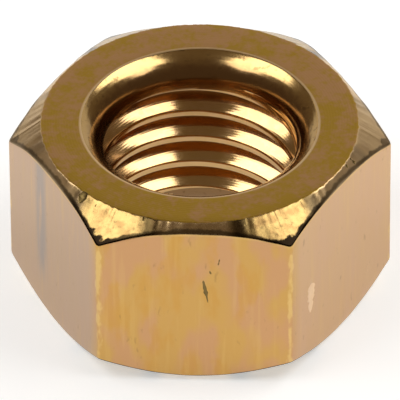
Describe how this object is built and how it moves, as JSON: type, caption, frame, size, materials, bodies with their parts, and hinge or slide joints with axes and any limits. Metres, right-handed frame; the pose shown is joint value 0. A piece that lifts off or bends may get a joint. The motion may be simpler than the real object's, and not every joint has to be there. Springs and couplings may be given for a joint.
{
  "type": "hex nut",
  "caption": "Plain brass hexagon nut with a right-hand coarse thread through its bore, countersunk at both ends, and chamfered corners.",
  "frame": {"origin": "on the thread's axis, in the plane of the lower bearing face", "axes": "+Z along the thread's axis, from the lower bearing face to the upper one; -Y and +Y are the outward normals of two opposite wrench flats; +X points at a corner"},
  "size_m": [0.0204, 0.0178, 0.0105],
  "materials": {
    "brass": "bare machined brass, satin bearing faces, drawn wrench flats and bright chamfers"
  },
  "bodies": {
    "root": {"hex_nut": "brass"}
  },
  "joints": []
}
